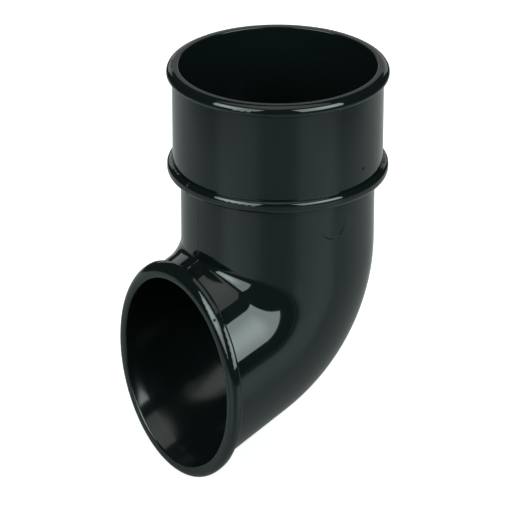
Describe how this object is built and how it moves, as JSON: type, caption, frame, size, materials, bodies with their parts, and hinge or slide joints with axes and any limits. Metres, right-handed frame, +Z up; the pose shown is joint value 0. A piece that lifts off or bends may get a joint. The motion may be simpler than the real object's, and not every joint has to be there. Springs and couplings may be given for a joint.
{
  "type": "downpipe shoe",
  "caption": "One-piece rainwater downpipe shoe: a beaded round socket over a short elbow that turns the water forward and out through a slanted, beaded mouth.",
  "frame": {"origin": "on the socket's axis at the seat where the pipe's end rests", "axes": "+Z up the downpipe, -Y the way the mouth throws the water, +Y towards the wall of the house"},
  "size_m": [0.0774, 0.0835, 0.1455],
  "materials": {
    "black_pvc": "glossy black PVC-U as moulded"
  },
  "bodies": {
    "root": {"downpipe_shoe": "black_pvc"}
  },
  "joints": []
}
